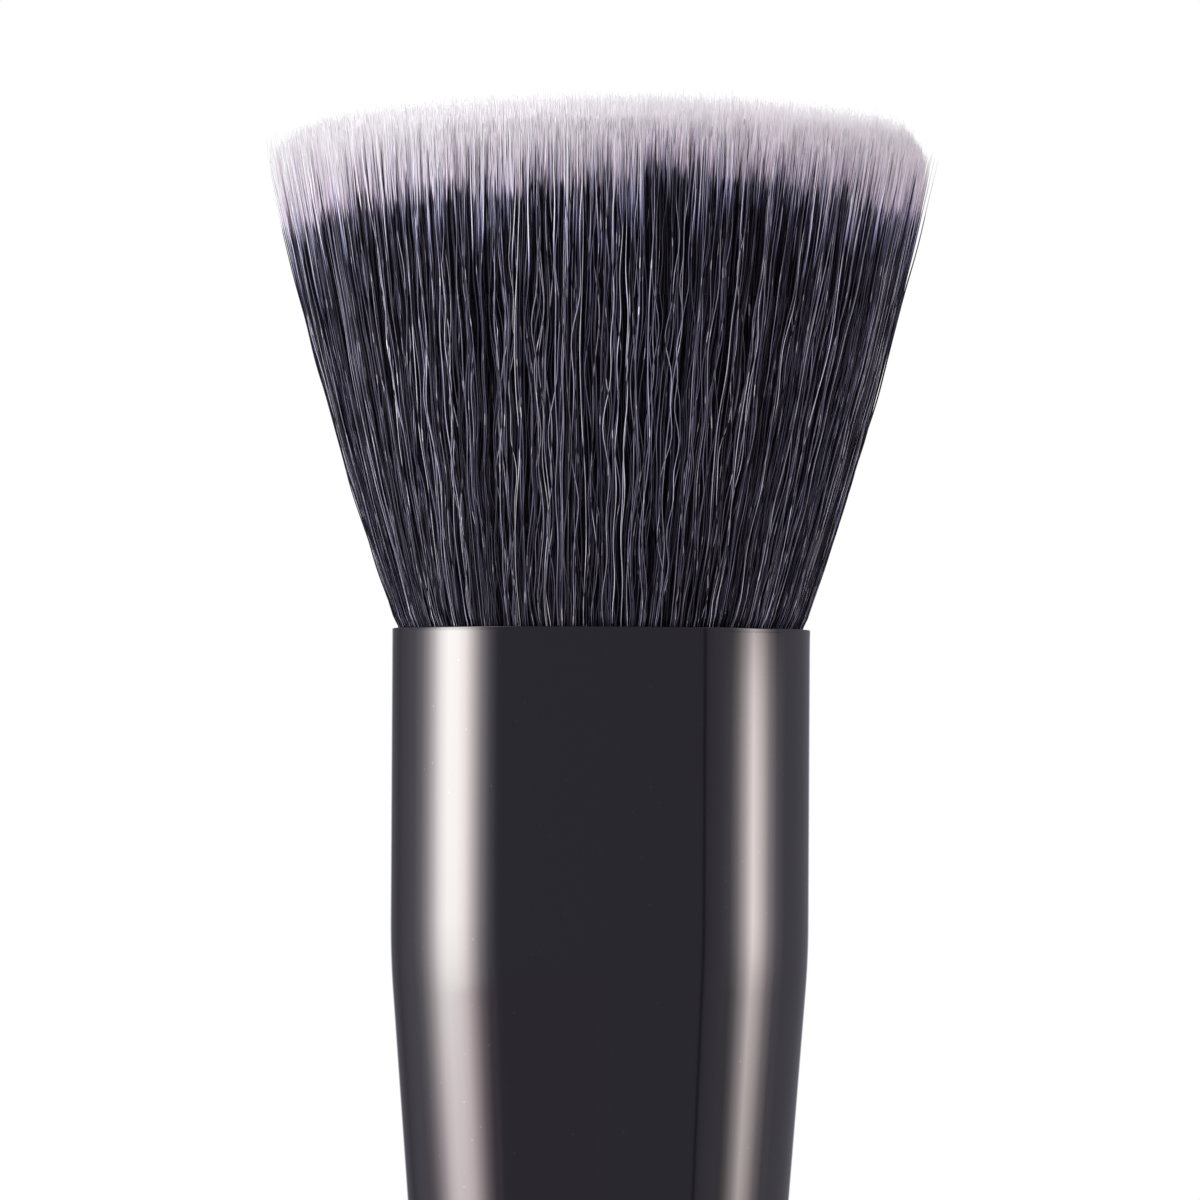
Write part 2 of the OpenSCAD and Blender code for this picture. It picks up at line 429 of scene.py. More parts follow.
hiddenFinishes = {
    "tenon_glue": ("setWoodGlue", (0.72, 0.62, 0.36), (0.6, 0.48, 0.24), 500, 0.4),
    "root_plug": ("castEpoxy", (0.62, 0.5, 0.24), (0.48, 0.36, 0.15), 350, 0.25),
    "binding_thread": ("cottonThread", (0.75, 0.72, 0.64), (0.6, 0.57, 0.5), 3000, 0.85),
}
for nodeName, finish in hiddenFinishes.items():
    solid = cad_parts[nodeName]
    finished = hiddenMaterial(*finish)
    for slot in solid.material_slots:
        slot.material = finished
print("inner pieces finished")


# Bristles. Heights are above the rim of the ferrule, and a strand's place in the bundle is
# its share of the way out from the axis and its angle round it.

bristles = {
    "rootRadius": ferruleR - 0.45 * mm,
    "boreRadius": ferruleR - 0.38 * mm,
    "headRadius": 16.7 * mm,
    "leanLeft": 0.07 * mm,
    # Painted shade that dims the strands at the left, less on the paler ones
    "paintedShadeLeft": 0.22,
    "rimSwell": 0.12 * mm,
    "widestHeight": 23 * mm,
    "bulge": 0.3,
    "tipHeight": bristlesHigh.z - rimZ - 0.3 * mm,
    "crownDrop": 1.5 * mm,
    "crownRight": 0.07,
    "edgeDropLeft": 1.4 * mm,
    "edgeDropRight": 2.6 * mm,
    "edgePower": 18,
    "gatherLeft": 1.35,
    "gatherRight": 0.2,
    "reach": 17.75 * mm,
    "looseShare": 0.35,
    "calmTips": 0.65,
    "smallClumps": 4500,
    "bigClumps": 560,
    "radialShare": 0.25,
    "clumpRadialShare": 0.15,
    "dimBelowLevel": 11,
    "paintedShadeLeftPale": 0.05,
    "deepDipShare": 0.2,
    "deepDip": (0.4, 2.6),
    "shortShare": 0.12,
    "shorterBy": (0.5, 3.5),
    "seed": 11,
}
# Height in mm of the change from dark to white, from the left edge of the head to the right one
whiteStops = (
    (-1, 20.7), (-0.76, 21.75), (-0.63, 21.85), (-0.5, 22.4), (0, 22.8), (0.12, 23.25),
    (0.33, 23.6), (0.55, 23.2), (0.8, 22.45), (1, 21.8),
)
# A dark strand's level sets how bright its painted highlight stripe is
brightLevels = 16  # how pale a dark strand is, across the strands' map
tones = 8  # ways in which a strand of each level turns white, the last two by way of blue
colourColumns = brightLevels * tones
mapHeight = 41 * mm  # length of strand that the map spans
mapBelow = 29 * mm  # how much of it lies below the change from dark to white


def flare(height):
    rise = np.clip(height, 0, None) / bristles["widestHeight"]
    grow = bristles["headRadius"] / bristles["rootRadius"] - 1
    return 1 + grow * rise * (1 + bristles["bulge"] * (1 - rise))


# Towards the tips the outer strands gather in front of and behind the axis, more on the left than
# on the right, so that only those near the edges fan out fully
def gathered(places, height):
    out = np.linalg.norm(places, axis=-1)
    side = np.clip(np.abs(places[..., 0]) / np.maximum(out, 1e-9), 1e-4, 1)
    power = np.where(places[..., 0] < 0, bristles["gatherLeft"], bristles["gatherRight"])
    power = power * np.clip((out - 0.85) / 0.08, 0.1, 1)
    side = (1 + (side ** -power - 1) * flare(height) ** power) ** (-1 / power)
    across = np.where(places[..., 0] < 0, -side, side) * out
    deep = np.where(places[..., 1] < 0, -1, 1) * np.sqrt(np.clip(1 - side ** 2, 0, 1)) * out
    return np.stack([across, deep], -1)


def tipHeight(out, angle):
    fromCrown = out ** 2 - 2 * bristles["crownRight"] * out * np.cos(angle)
    rightShare = 0.5 + 0.5 * np.cos(angle)
    edgeDrop = bristles["edgeDropLeft"] * (1 - rightShare) + bristles["edgeDropRight"] * rightShare
    crown = bristles["tipHeight"] - bristles["crownDrop"] * fromCrown
    return crown - edgeDrop * out ** bristles["edgePower"]


def whiteHeight(out, angle):
    places = [place for place, height in whiteStops]
    return np.interp(out * np.cos(angle), places, [height * mm for place, height in whiteStops])


def clumpCentres(count, rng):
    index = np.arange(count) + 0.5
    out = np.sqrt(index / count)
    angle = index * math.pi * (3 - math.sqrt(5)) + rng.normal(0, 0.02, count)
    return np.stack([out * np.cos(angle), out * np.sin(angle)], 1)


def nearestClump(places, centres):
    found = np.empty(len(places), int)
    for start in range(0, len(places), 1000):
        part = places[start:start + 1000]
        gaps = ((part[:, None] - centres[None]) ** 2).sum(2)
        found[start:start + 1000] = gaps.argmin(1)
    return found


clumpRng = np.random.default_rng(bristles["seed"])
smallClumps = clumpCentres(bristles["smallClumps"], clumpRng)
smallPull = clumpRng.uniform(0.0, 0.22, len(smallClumps))
smallLift = clumpRng.normal(0, 0.12 * mm, len(smallClumps))
smallDip = clumpRng.normal(0, 0.75 * mm, len(smallClumps))  # how much lower a clump turns white
dipsDeep = clumpRng.random(len(smallClumps)) < bristles["deepDipShare"]
smallDip += np.where(dipsDeep, clumpRng.uniform(*bristles["deepDip"], len(smallClumps)) * mm, 0)
bigClumps = clumpCentres(bristles["bigClumps"], clumpRng)
bigPull = clumpRng.uniform(0.0, 0.06, len(bigClumps))
bigDrift = clumpRng.normal(0, 0.1 * mm, (len(bigClumps), 2))
bigDip = clumpRng.normal(0.1 * mm, 0.2 * mm, len(bigClumps))
# A big clump's strands wave together, apart from a loose share of them
waveTurn = clumpRng.uniform(0, 2 * math.pi, (3, len(bigClumps)))
waveAim = clumpRng.uniform(0, 2 * math.pi, (3, len(bigClumps)))
waveLength = clumpRng.uniform(0, 1, (3, len(bigClumps)))
waveAmount = clumpRng.uniform(0.3, 1, (3, len(bigClumps)))


def clumpTargets(out, centres):
    centreOut = np.linalg.norm(centres, axis=1)
    goal = out + (centreOut - out) * bristles["clumpRadialShare"]
    return centres * (goal / np.maximum(centreOut, 1e-6))[:, None]


def strandPaths(rng, out, angle, layer):
    count, steps, wave = len(out), layer["steps"], layer["wave"]
    places = np.stack([out * np.cos(angle), out * np.sin(angle)], 1)
    small = nearestClump(places, smallClumps)
    big = nearestClump(places, bigClumps)
    atTop = gathered(places, bristles["tipHeight"])
    topAngle = np.arctan2(atTop[:, 1], atTop[:, 0])
    facing = gathered(places, bristles["tipHeight"] / 2)
    facing = np.arctan2(facing[:, 1], facing[:, 0])
    top = tipHeight(out, topAngle) + smallLift[small] + rng.normal(0, 0.13 * mm, count)
    isShort = rng.random(count) < bristles["shortShare"]
    top -= np.where(isShort, rng.uniform(*bristles["shorterBy"], count) * mm, 0)
    top += layer["longer"]
    share = (np.arange(steps + 1) / steps) ** 1.15
    height = layer["from"] + share[None] * (top[:, None] - layer["from"])
    radius = bristles["rootRadius"] * flare(height)
    splayRise = np.clip(height / bristles["widestHeight"], 0, 1.1) ** 2.5
    splay = rng.uniform(0, layer["splay"], count)[:, None] * splayRise
    radius += splay * np.clip((out[:, None] - 0.85) / 0.15, 0, 1)
    radius += bristles["rimSwell"] * np.clip(height / (0.4 * mm), 0, 1)
    rise = np.clip(height / bristles["tipHeight"], 0, 1.1)
    start = np.clip((height + 0.5 * mm) / (2 * mm), 0, 1)
    start *= 1 - bristles["calmTips"] * np.clip((height - 16 * mm) / (7 * mm), 0, 1)
    path = gathered(places[:, None], height) * radius[..., None]
    clumpings = ((bigClumps, bigPull, big, 1.2), (smallClumps, smallPull, small, 1.7))
    for centres, pulls, chosen, power in clumpings:
        pull = pulls[chosen][:, None] * rise ** power
        goal = gathered(clumpTargets(out, centres[chosen])[:, None], height) * radius[..., None]
        path += pull[..., None] * (goal - path)
    path += bigDrift[big][:, None] * (rise ** 1.5)[..., None]

    # Sideways sway stays whole and the sway in or out is weaker, so that strands stay in their layer
    outward = np.stack([np.cos(facing), np.sin(facing)], 1) * bristles["radialShare"]
    sideways = np.stack([-np.sin(facing), np.cos(facing)], 1)
    lean = rng.normal(0, layer["stray"], (2, count, 1))
    path += (lean[0] * outward + lean[1] * sideways)[:, None] * (rise ** 1.6)[..., None]
    path[..., 0] -= bristles["leanLeft"] * np.sqrt(np.clip(rise, 0, 1))
    loose = rng.random(count) < bristles["looseShare"]
    waves = ((layer["crimp"], 2.9, 5.0), (wave, 5.0, 8.5), (wave * 1.5, 9.0, 17.0))
    for k, (size, short, long) in enumerate(waves):
        length = np.where(loose, rng.uniform(0, 1, count),
                          waveLength[k][big] + rng.normal(0, 0.06, count))
        length = (short + (long - short) * length) * mm
        turn = np.where(loose, rng.uniform(0, 2 * math.pi, count),
                        waveTurn[k][big] + rng.normal(0, 0.5, count))
        aim = np.where(loose, rng.uniform(0, 2 * math.pi, count),
                       waveAim[k][big] + rng.normal(0, 0.4, count))
        aim = aim[:, None]
        amount = np.where(loose, 1.0, waveAmount[k][big]) * rng.uniform(0.5, 1.0, count) * size
        swing = amount[:, None] * start * np.sin(2 * math.pi * height / length[:, None] + turn[:, None])
        path += swing[..., None] * (np.cos(aim) * sideways + np.sin(aim) * outward)[:, None]
    reach = np.linalg.norm(path, axis=2)
    limit = bristles["boreRadius"] + np.clip(height - 0.05 * mm, 0, None) * 0.9
    limit = np.minimum(limit, bristles["reach"])
    path *= np.minimum(1, limit / np.maximum(reach, 1e-9))[..., None]

    # Where each strand turns white: a clump's middle strands lowest, in a wedge, and a few far off
    offCentre = np.linalg.norm(places - smallClumps[small], axis=1) * math.sqrt(len(smallClumps))
    dip = smallDip[small] * np.clip(1.3 - offCentre, 0, 1) + bigDip[big]
    dip += rng.normal(0, layer["unevenness"], count)
    chance = rng.random(count)
    dip -= np.where(chance < layer["darkSpikes"], rng.uniform(0.8, 2.8, count) * mm, 0)
    dip += np.where(chance > 1 - layer["paleSpikes"], rng.uniform(0.8, 3.2, count) * mm, 0)
    tone = rng.integers(0, tones - 2, count)
    blue = rng.random(count) < np.where(dip > 0.8 * mm, 1.0, 0.22)
    tone = np.where(blue, rng.integers(tones - 2, tones, count), tone)

    # How pale it is below that, with painted shade: the strands on the left are painted dimmer, to make up
    # for the light there
    levels = layer["palest"] - layer["dimmest"]
    level = layer["dimmest"] + rng.random(count) ** layer["dimness"] * levels
    paintedShadeBy = np.where(level < bristles["dimBelowLevel"], bristles["paintedShadeLeft"], bristles["paintedShadeLeftPale"])
    level *= 1 - paintedShadeBy * np.clip(-np.cos(facing), 0, 1)
    level = level.astype(int)
    white = whiteHeight(out, topAngle) - dip
    points = np.concatenate([path, (height + rimZ)[..., None]], 2)
    return points, height, top, level * tones + tone, white, facing


def strandMesh(name, rng, path, height, top, column, white, angle, thickness, material):
    count, rings = height.shape
    steps = rings - 1
    taper = np.clip((top[:, None] - height) / (9 * mm), 0, 1) ** 0.8
    swell = np.clip(0.64 + height / (46 * mm), 0.6, 1)
    half = thickness / 2 * rng.uniform(0.8, 1.15, count)[:, None] * (0.14 + 0.86 * taper) * swell
    turn = (angle + rng.normal(-math.pi / 3, 0.3, count))[:, None] + np.arange(3)[None] * 2 * math.pi / 3
    ring = np.stack([np.cos(turn), np.sin(turn), np.zeros_like(turn)], 2)
    verts = path[:, :, None] + half[..., None, None] * ring[:, None]
    index = np.arange(count * rings * 3).reshape(count, rings, 3)
    after = np.roll(index, -1, 2)
    sides = np.stack([index[:, :-1], after[:, :-1], after[:, 1:], index[:, 1:]], 3)
    tips = index[:, -1]
    roots = index[:, 0, ::-1]
    left = (column + 0.15) / colourColumns
    right = (column + 0.85) / colourColumns
    along = (height - white[:, None] + mapBelow) / mapHeight
    sideUv = np.empty((count, steps, 3, 4, 2))
    sideUv[..., 0, 0] = sideUv[..., 3, 0] = left[:, None, None]
    sideUv[..., 1, 0] = sideUv[..., 2, 0] = right[:, None, None]
    sideUv[..., 0, 1] = sideUv[..., 1, 1] = along[:, :-1, None]
    sideUv[..., 2, 1] = sideUv[..., 3, 1] = along[:, 1:, None]
    capUv = np.empty((count, 2, 3, 2))
    capUv[:, :, 0, 0] = left[:, None]
    capUv[:, :, 1, 0] = right[:, None]
    capUv[:, :, 2, 0] = (left + right)[:, None] / 2
    ends = np.stack([along[:, -1], along[:, 0]], 1)
    capUv[..., 0, 1] = capUv[..., 1, 1] = ends
    capUv[..., 2, 1] = ends + 0.006
    corners = np.concatenate([sides.reshape(-1), tips.reshape(-1), roots.reshape(-1)])
    uv = np.concatenate([sideUv.reshape(-1, 2), capUv[:, 0].reshape(-1, 2),
                         capUv[:, 1].reshape(-1, 2)])
    quads = count * steps * 3
    starts = np.concatenate([np.arange(quads) * 4, quads * 4 + np.arange(count * 2) * 3])
    mesh = bpy.data.meshes.new(name)
    mesh.vertices.add(count * rings * 3)
    mesh.vertices.foreach_set("co", verts.astype(np.float32).ravel())
    mesh.loops.add(len(corners))
    mesh.loops.foreach_set("vertex_index", corners.astype(np.int32))
    mesh.polygons.add(len(starts))
    mesh.polygons.foreach_set("loop_start", starts.astype(np.int32))
    mesh.polygons.foreach_set("use_smooth", np.ones(len(starts), bool))
    layer = mesh.uv_layers.new(name="OFBake")
    layer.uv.foreach_set("vector", uv.astype(np.float32).ravel())
    mesh.update(calc_edges=True)
    mesh.materials.append(material)
    piece = bpy.data.objects.new(name, mesh)
    scene.collection.objects.link(piece)
    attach(piece, "root")
    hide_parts("bristles")


bristleFinish = {
    "base": (0.0042, 0.0038, 0.0055),
    "blueTint": (0.96, 0.98, 1.12),
    "brownTint": (1.02, 1.0, 0.98),
    "core": (0.84, 0.79, 0.83),
    "coreShade": (0.5, 0.45, 0.5),
    "baseShade": (0.02, 0.018, 0.024),
    "coreFrom": 24.3 * mm,
    "coreTo": 26.3 * mm,
    "darkRoughness": 0.26,
    "whiteRoughness": 0.7,
    "shine": (0.86, 0.84, 1.0),
    "specular": 0.22,
    # The painted highlight: how much of it is left at the roots as painted shade, its patches along a
    # filament, and its painted glints
    "paintedShineAtRoots": 0.68,
    "patchScale": 0.33,
    "highlightPatchShift": 17.31,
    "paintedGlintScale": 0.8,
    "paintedGlintShift": 7.77,
    "paintedGlint": (0.92, 0.89, 0.95),
    "paintedGlints": 0.9,
}
# Colour of the painted highlight, a light stripe painted down a dark filament, from the darkest filament to
# the palest
paintedHighlightStops = (
    (0.0, (0.0085, 0.008, 0.0115)), (0.25, (0.036, 0.034, 0.05)), (0.5, (0.108, 0.102, 0.146)),
    (0.7, (0.24, 0.228, 0.307)), (0.85, (0.41, 0.391, 0.49)), (0.95, (0.6, 0.575, 0.68)),
    (1.0, (0.84, 0.82, 0.88)),
)
# Colour from 2 mm below the change of colour to 4.5 mm above it, for most filaments and for
# the few that turn blue first
mauveStops = (
    (0.25, (0.055, 0.04, 0.065)), (0.31, (0.46, 0.36, 0.46)), (0.37, (0.77, 0.655, 0.76)),
    (0.54, (0.83, 0.742, 0.815)), (0.77, (0.825, 0.762, 0.81)), (1.0, (0.835, 0.8, 0.825)),
)
lavenderStops = (
    (0.03, (0.04, 0.039, 0.06)), (0.18, (0.17, 0.167, 0.29)), (0.31, (0.42, 0.405, 0.625)),
    (0.46, (0.7, 0.67, 0.82)), (0.77, (0.805, 0.775, 0.82)), (1.0, (0.825, 0.805, 0.825)),
)


def bristleMaterial():
    look = bristleFinish
    mat, nodes, links, shader = newMaterial("twoToneFilament")
    uvMap = nodes.new("ShaderNodeUVMap")
    uvMap.uv_map = "OFBake"
    split = nodes.new("ShaderNodeSeparateXYZ")
    links.new(uvMap.outputs["UV"], split.inputs[0])
    across = mathNode(nodes, links, "MULTIPLY", split.outputs["X"], colourColumns)
    column = mathNode(nodes, links, "FLOOR", across)
    level = mathNode(nodes, links, "DIVIDE", column, tones)
    toneShare = mathNode(nodes, links, "FRACT", level)
    isBlue = mathNode(nodes, links, "GREATER_THAN", toneShare, 1 - 2.5 / tones)
    wholeLevel = mathNode(nodes, links, "FLOOR", level)
    bright = mathNode(nodes, links, "DIVIDE", wholeLevel, brightLevels - 1)
    chance = nodes.new("ShaderNodeTexWhiteNoise")
    chance.noise_dimensions = "1D"
    links.new(column, chance.inputs["W"])
    chances = nodes.new("ShaderNodeSeparateColor")
    links.new(chance.outputs["Color"], chances.inputs[0])
    first, second, third = chances.outputs
    along = mathNode(nodes, links, "MULTIPLY", split.outputs["Y"], mapHeight / mm)
    above = mathNode(nodes, links, "SUBTRACT", along, mapBelow / mm)

    # Painted highlight: a stripe of light painted down the middle of each side, stronger and weaker along the
    # filament
    middle = mathNode(nodes, links, "PINGPONG", across, 0.5)
    paintedHighlightFrom = mapRange(nodes, links, bright, 0.3, 0.8, 0.31, 0.2)
    paintedHighlight = mapRange(nodes, links, middle, paintedHighlightFrom, 0.45, 0.0, 1.0, smooth=True)
    highlightPatchPlace = mathNode(nodes, links, "MULTIPLY_ADD", column, look["highlightPatchShift"], along)
    highlightPatch = lineNoiseNode(nodes, links, highlightPatchPlace, look["patchScale"], 1.5)
    patches = mapRange(nodes, links, highlightPatch, 0.35, 0.72, 0.0, 1.0)
    patches = mathNode(nodes, links, "POWER", patches, 2.5)
    patches = mathNode(nodes, links, "MULTIPLY_ADD", patches, 1.3, 0.75)
    shine = mathNode(nodes, links, "MULTIPLY", paintedHighlight, patches)
    # Painted shade: the painted highlight is dimmer towards the roots
    paintedRootShade = mapRange(nodes, links, above, -22.0, -9.0, look["paintedShineAtRoots"], 1.0)
    shine = mathNode(nodes, links, "MULTIPLY", shine, paintedRootShade)
    paintedHighlightColour = colourRamp(nodes, links, bright, paintedHighlightStops)
    tint = mixColour(nodes, links, third, look["blueTint"], look["brownTint"])
    paintedHighlightColour = mixColour(nodes, links, 1.0, paintedHighlightColour, tint, "MULTIPLY")

    # A few short painted glints on the paler of the dark filaments
    paintedGlintPlace = mathNode(nodes, links, "MULTIPLY_ADD", column, look["paintedGlintShift"], along)
    paintedGlint = lineNoiseNode(nodes, links, paintedGlintPlace, look["paintedGlintScale"], 0.5)
    paintedGlints = mapRange(nodes, links, paintedGlint, 0.7, 0.79, 0.0, look["paintedGlints"], smooth=True)
    paintedGlintsAllowed = mapRange(nodes, links, bright, 0.3, 0.65, 0.0, 1.0)
    paintedGlints = mathNode(nodes, links, "MULTIPLY", paintedGlints, paintedGlintsAllowed)
    paintedHighlightColour = mixColour(nodes, links, paintedGlints, paintedHighlightColour, look["paintedGlint"])
    dark = mixColour(nodes, links, shine, look["base"], paintedHighlightColour)

    # The change from dark to white, quicker or slower for each filament
    haste = mapRange(nodes, links, first, 0.0, 1.0, 0.8, 1.6)
    change = mathNode(nodes, links, "MULTIPLY", above, haste)
    change = mapRange(nodes, links, change, -2.0, 4.5, 0.0, 1.0)
    pale = mixColour(nodes, links, isBlue, colourRamp(nodes, links, change, mauveStops),
                     colourRamp(nodes, links, change, lavenderStops))
    # The painted highlight stripe, faintly, on the pale part too
    palePaintedHighlight = mapRange(nodes, links, paintedHighlight, 0.0, 1.0, 0.97, 1.01)
    pale = mixColour(nodes, links, 1.0, pale, palePaintedHighlight, "MULTIPLY")
    paleFrom = mapRange(nodes, links, isBlue, 0.0, 1.0, 0.25, 0.03)
    paleWhole = mathNode(nodes, links, "ADD", paleFrom, 0.08)
    share = mapRange(nodes, links, change, paleFrom, paleWhole, 0.0, 1.0)
    links.new(mixColour(nodes, links, share, dark, pale), shader.inputs["Base Color"])
    rough = mapRange(nodes, links, change, 0.1, 0.6, look["darkRoughness"], look["whiteRoughness"])
    rough = mathNode(nodes, links, "MULTIPLY_ADD", second, 0.1, rough)
    links.new(rough, shader.inputs["Roughness"])
    shader.inputs["Specular IOR Level"].default_value = look["specular"]
    shader.inputs["Specular Tint"].default_value = (*look["shine"], 1)
    return mat


bristleLook = bristleMaterial()

# The share of the bundle that each layer fills, its strands and the pieces that they are shared
# between, and how its strands run
# Between dimmest and palest, a strand's painted highlight level is random; the deeper layers have low levels,
# as painted shade inside the bundle
bristleLayers = {
    "bristleSkin": {
        "inner": 0.993, "outer": 1.0, "strands": 640, "parts": 2, "steps": 54, "from": -2.4 * mm,
        "thickness": 0.077 * mm, "wave": 0.16 * mm, "crimp": 0.1 * mm, "stray": 0.34 * mm, "splay": 0.24 * mm,
        "dimmest": 4, "palest": 16, "dimness": 1.05, "longer": 0, "unevenness": 0.5 * mm,
        "darkSpikes": 0.14, "paleSpikes": 0.18,
    },
    "bristleUnder": {
        "inner": 0.95, "outer": 0.985, "strands": 2400, "parts": 3, "steps": 40, "from": -2.4 * mm,
        "thickness": 0.11 * mm, "wave": 0.15 * mm, "crimp": 0.09 * mm, "stray": 0.32 * mm, "splay": 0.2 * mm,
        "dimmest": 0, "palest": 10, "dimness": 2.6, "longer": 0, "unevenness": 0.5 * mm,
        "darkSpikes": 0.12, "paleSpikes": 0.1,
    },
    "bristleLower": {
        "inner": 0.9, "outer": 0.95, "strands": 2600, "parts": 2, "steps": 24, "from": -2.4 * mm,
        "thickness": 0.22 * mm, "wave": 0.12 * mm, "crimp": 0, "stray": 0.3 * mm, "splay": 0,
        "dimmest": 0, "palest": 5, "dimness": 2.5, "longer": 0, "unevenness": 0.4 * mm,
        "darkSpikes": 0.1, "paleSpikes": 0.04,
    },
    "bristleTips": {
        "inner": 0.9, "outer": 0.99, "strands": 10500, "parts": 3, "steps": 9, "from": 17 * mm,
        "thickness": 0.12 * mm, "wave": 0.1 * mm, "crimp": 0, "stray": 0.3 * mm, "splay": 0.24 * mm,
        "dimmest": 0, "palest": 6, "dimness": 2.5, "longer": 0, "unevenness": 0.4 * mm,
        "darkSpikes": 0.08, "paleSpikes": 0.04,
    },
    "bristleMantle": {
        "inner": 0.85, "outer": 0.93, "strands": 3600, "parts": 2, "steps": 12, "from": -2.4 * mm,
        "thickness": 0.2 * mm, "wave": 0.1 * mm, "crimp": 0, "stray": 0.25 * mm, "splay": 0,
        "dimmest": 0, "palest": 3, "dimness": 2.5, "longer": 0, "unevenness": 0.3 * mm,
        "darkSpikes": 0, "paleSpikes": 0,
    },
    "bristleHeart": {
        "inner": 0.0, "outer": 0.88, "strands": 9600, "parts": 2, "steps": 6, "from": -2.4 * mm,
        "thickness": 0.2 * mm, "wave": 0.08 * mm, "crimp": 0, "stray": 0.2 * mm, "splay": 0,
        "dimmest": 0, "palest": 2, "dimness": 1, "longer": 0, "unevenness": 0.3 * mm,
        "darkSpikes": 0, "paleSpikes": 0,
    },
    "bristleWisps": {
        "inner": 0.99, "outer": 1.005, "strands": 200, "parts": 1, "steps": 48, "from": -2.4 * mm,
        "thickness": 0.1 * mm, "wave": 0.14 * mm, "crimp": 0.08 * mm, "stray": 0.4 * mm, "splay": 0.55 * mm,
        "dimmest": 4, "palest": 14, "dimness": 1.2, "longer": 0.9 * mm, "unevenness": 0.5 * mm,
        "darkSpikes": 0, "paleSpikes": 0.3,
    },
}


def makeBristles():
    for order, (name, layer) in enumerate(bristleLayers.items()):
        strands, parts = layer["strands"], layer["parts"]
        rng = np.random.default_rng(bristles["seed"] + 1 + order)
        out = np.sqrt(rng.uniform(layer["inner"] ** 2, layer["outer"] ** 2, strands))
        turns = np.arange(strands) * 233 % strands + rng.uniform(-1, 1, strands)
        angle = turns * 2 * math.pi / strands
        path, height, top, column, white, facing = strandPaths(rng, out, angle, layer)
        for part in range(parts):
            some = slice(part * strands // parts, (part + 1) * strands // parts)
            pieceName = name if parts == 1 else name + str(part + 1)
            strandMesh(pieceName, rng, path[some], height[some], top[some], column[some],
                       white[some], facing[some], layer["thickness"], bristleLook)
        print(name, strands, "strands")


makeBristles()


# A closed body inside the strands, so that no light passes between them

coreShape = {
    "outShare": 0.87,
    "topShare": 0.93,
    "widensFrom": 17 * mm,
    "widensTo": 22 * mm,
    "from": -2.4 * mm,
    "belowTips": 1.6 * mm,
    "sideBelow": 1.0 * mm,
    "sideSteps": 24,
    "topSteps": 16,
}


def coreMaterial():
    look = bristleFinish
    mat, nodes, links, shader = newMaterial("packedFilaments")
    place = nodes.new("ShaderNodeTexCoord").outputs["Object"]
    along = nodes.new("ShaderNodeMapping")
    along.inputs["Scale"].default_value = (1, 1, 0.05)
    links.new(place, along.inputs["Vector"])
    strands = noiseNode(nodes, links, along.outputs["Vector"], 2600, 2)
    split = nodes.new("ShaderNodeSeparateXYZ")
    links.new(place, split.inputs[0])
    height = mathNode(nodes, links, "SUBTRACT", split.outputs["Z"], rimZ)
    height = mathNode(nodes, links, "MULTIPLY_ADD", strands, 4 * mm, height)
    change = mapRange(nodes, links, height, look["coreFrom"], look["coreTo"], 0.0, 1.0, smooth=True)
    pale = mixColour(nodes, links, strands, look["core"], look["coreShade"])
    dark = mixColour(nodes, links, strands, look["base"], look["baseShade"])
    links.new(mixColour(nodes, links, change, dark, pale), shader.inputs["Base Color"])
    shader.inputs["Roughness"].default_value = 0.6
    links.new(bumpNode(nodes, links, strands, 0.8, 0.15 * mm), shader.inputs["Normal"])
    return mat


def makeCore():
    shape = coreShape
    shares = (shape["outShare"], shape["topShare"])
    widens = (shape["widensFrom"], shape["widensTo"])
    sideTop = float(tipHeight(shape["topShare"], math.pi)) - shape["belowTips"] - shape["sideBelow"]
    outline = [(0, rimZ + shape["from"])]
    for i in range(shape["sideSteps"] + 1):
        height = shape["from"] + (sideTop - shape["from"]) * i / shape["sideSteps"]
        share = np.interp(height, widens, shares)
        outline.append((float(share * bristles["rootRadius"] * flare(height)), rimZ + height))
    edgeR = outline[-1][0]
    for i in range(1, shape["topSteps"]):
        turn = math.pi / 2 * i / shape["topSteps"]
        place = share * math.cos(turn)
        topHeight = float(tipHeight(place, math.pi)) - shape["belowTips"]
        height = sideTop + (topHeight - sideTop) * math.sin(turn) ** 0.8
        outline.append((edgeR * math.cos(turn), rimZ + height))
    outline.append((0, rimZ + float(tipHeight(0, 0)) - shape["belowTips"]))
    piece = lathe("bristleCore", outline, coreMaterial(), segments=96, sharpAngle=80)
    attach(piece, "root")
    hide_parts("bristles")


makeCore()
print("bristles made")


# Studio

studio = {
    "ambient": (0.6, 0.573, 0.605),
    "floorColour": (0.86, 0.86, 0.87),
    "floorRadius": 0.5,
    "floorFadeFrom": 0.16,
    "floorSides": 96,
    "tentRadius": 1.5,
    "tentEye": 0.125,
    "lampDistance": 0.75,
    "lowTint": (1.02, 0.93, 0.98),
    "tintAngles": (-8.5, -6.4),
}
lamps = {
    "leftSoftBox": {
        "azimuth": -80, "elevation": 17, "width": 1.0, "height": 0.9, "power": 11.3,
        "colour": (0.95, 1, 0.99),
    },
    "rightSoftBox": {
        "azimuth": 88, "elevation": 12, "width": 0.55, "height": 0.7, "power": 3.3,
        "colour": (1, 0.96, 0.98),
    },
    "topSoftBox": {
        "azimuth": 0, "elevation": 78, "width": 0.6, "height": 0.6, "power": 0.85,
        "colour": (1, 1, 1),
    },
}
